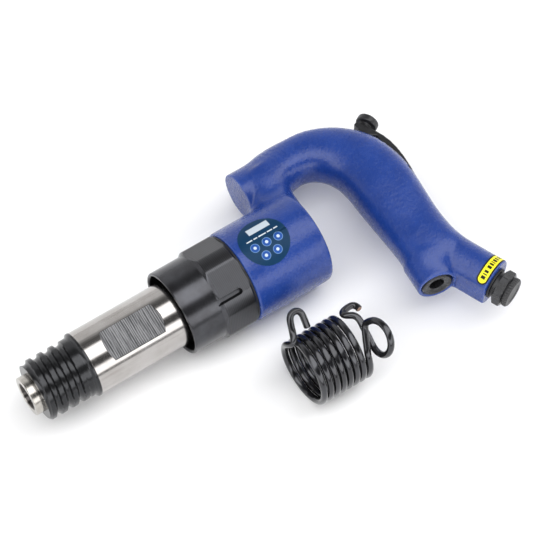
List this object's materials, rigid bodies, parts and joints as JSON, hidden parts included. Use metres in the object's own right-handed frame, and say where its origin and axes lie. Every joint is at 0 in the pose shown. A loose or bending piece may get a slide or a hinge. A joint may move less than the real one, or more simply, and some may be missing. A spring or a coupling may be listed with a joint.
{
  "type": "air chipping hammer",
  "caption": "Air chipping hammer with an open arch handle, thumb lever, exhaust collar, threaded nose and a loose coil retainer beside it.",
  "frame": {"origin": "centre of the chisel socket's mouth, on the barrel's axis", "axes": "+X runs along the barrel from the nose to the head; +Y points from the barrel to the arch of the handle; +Z is the tool's left side, up as it lies on its right side"},
  "size_m": [0.2446, 0.1453, 0.0509],
  "materials": {
    "socket_steel": "machined",
    "barrel_steel": "ground",
    "collar_black": "satin black oxide",
    "ring_black": "matte",
    "inner_steel": "ground",
    "black_steel": "black oxide",
    "seal_rubber": "matte",
    "brass": "plain",
    "spring_steel": "bright wire",
    "cap_plastic": "moulded",
    "lever_black": "satin black",
    "casting_paint": "gloss paint over a sand casting",
    "label_blue": "printed film",
    "label_yellow": "printed film",
    "spring_black": "black oxide"
  },
  "bodies": {
    "tool": {"chisel_socket": "socket_steel", "barrel": "barrel_steel", "exhaust_collar": "collar_black", "collar_ring": "ring_black", "valve_block_front": "inner_steel", "valve_block_rear": "inner_steel", "valve_dowel": "inner_steel", "throttle_plug": "black_steel", "throttle_plug_seal": "seal_rubber", "throttle_valve_seat": "inner_steel", "push_pin_guide": "brass", "throttle_spring": "spring_steel", "inlet_nipple": "black_steel", "inlet_seal": "seal_rubber", "inlet_strainer": "brass", "lever_pivot_pin": "black_steel", "handle_casting": "casting_paint", "head_label": "label_blue", "inlet_label": "label_yellow"},
    "lever": {"throttle_lever": "lever_black"},
    "throttle": {"throttle_valve": "inner_steel", "throttle_push_pin": "inner_steel"},
    "piston": {"piston": "inner_steel"},
    "valve": {"cycling_valve": "inner_steel"},
    "cap": {"dust_cap": "cap_plastic"},
    "retainer": {"retainer_spring": "spring_black"}
  },
  "joints": [
    {"name": "lever_pivot", "type": "hinge", "parent": "tool", "child": "lever", "pos_m": [0.2355, 0.001, 0], "axis": [0, 0, 1], "range_deg": [0, 5.5], "stiffness_Nm_per_rad": 0.6, "springref_deg": -8.59},
    {"name": "throttle_slide", "type": "slide", "parent": "tool", "child": "throttle", "axis": [-0.2419, -0.9703, 0], "range_m": [0, 0.0024], "deforming": ["throttle_spring"]},
    {"name": "piston_slide", "type": "slide", "parent": "tool", "child": "piston", "axis": [1, 0, 0], "range_m": [0, 0.056]},
    {"name": "valve_slide", "type": "slide", "parent": "tool", "child": "valve", "axis": [1, 0, 0], "range_m": [0, 0.0013]},
    {"name": "cap_pull", "type": "slide", "parent": "tool", "child": "cap", "axis": [0.3551, -0.9348, 0], "range_m": [0, 0.02]},
    {"name": "retainer_place", "type": "slide", "parent": "tool", "child": "retainer", "axis": [-1, 0, 0], "range_m": [0, 0.04]}
  ],
  "couplings": [
    {"joint": "throttle_slide", "follows": "lever_pivot", "m_per_rad": 0.022}
  ]
}
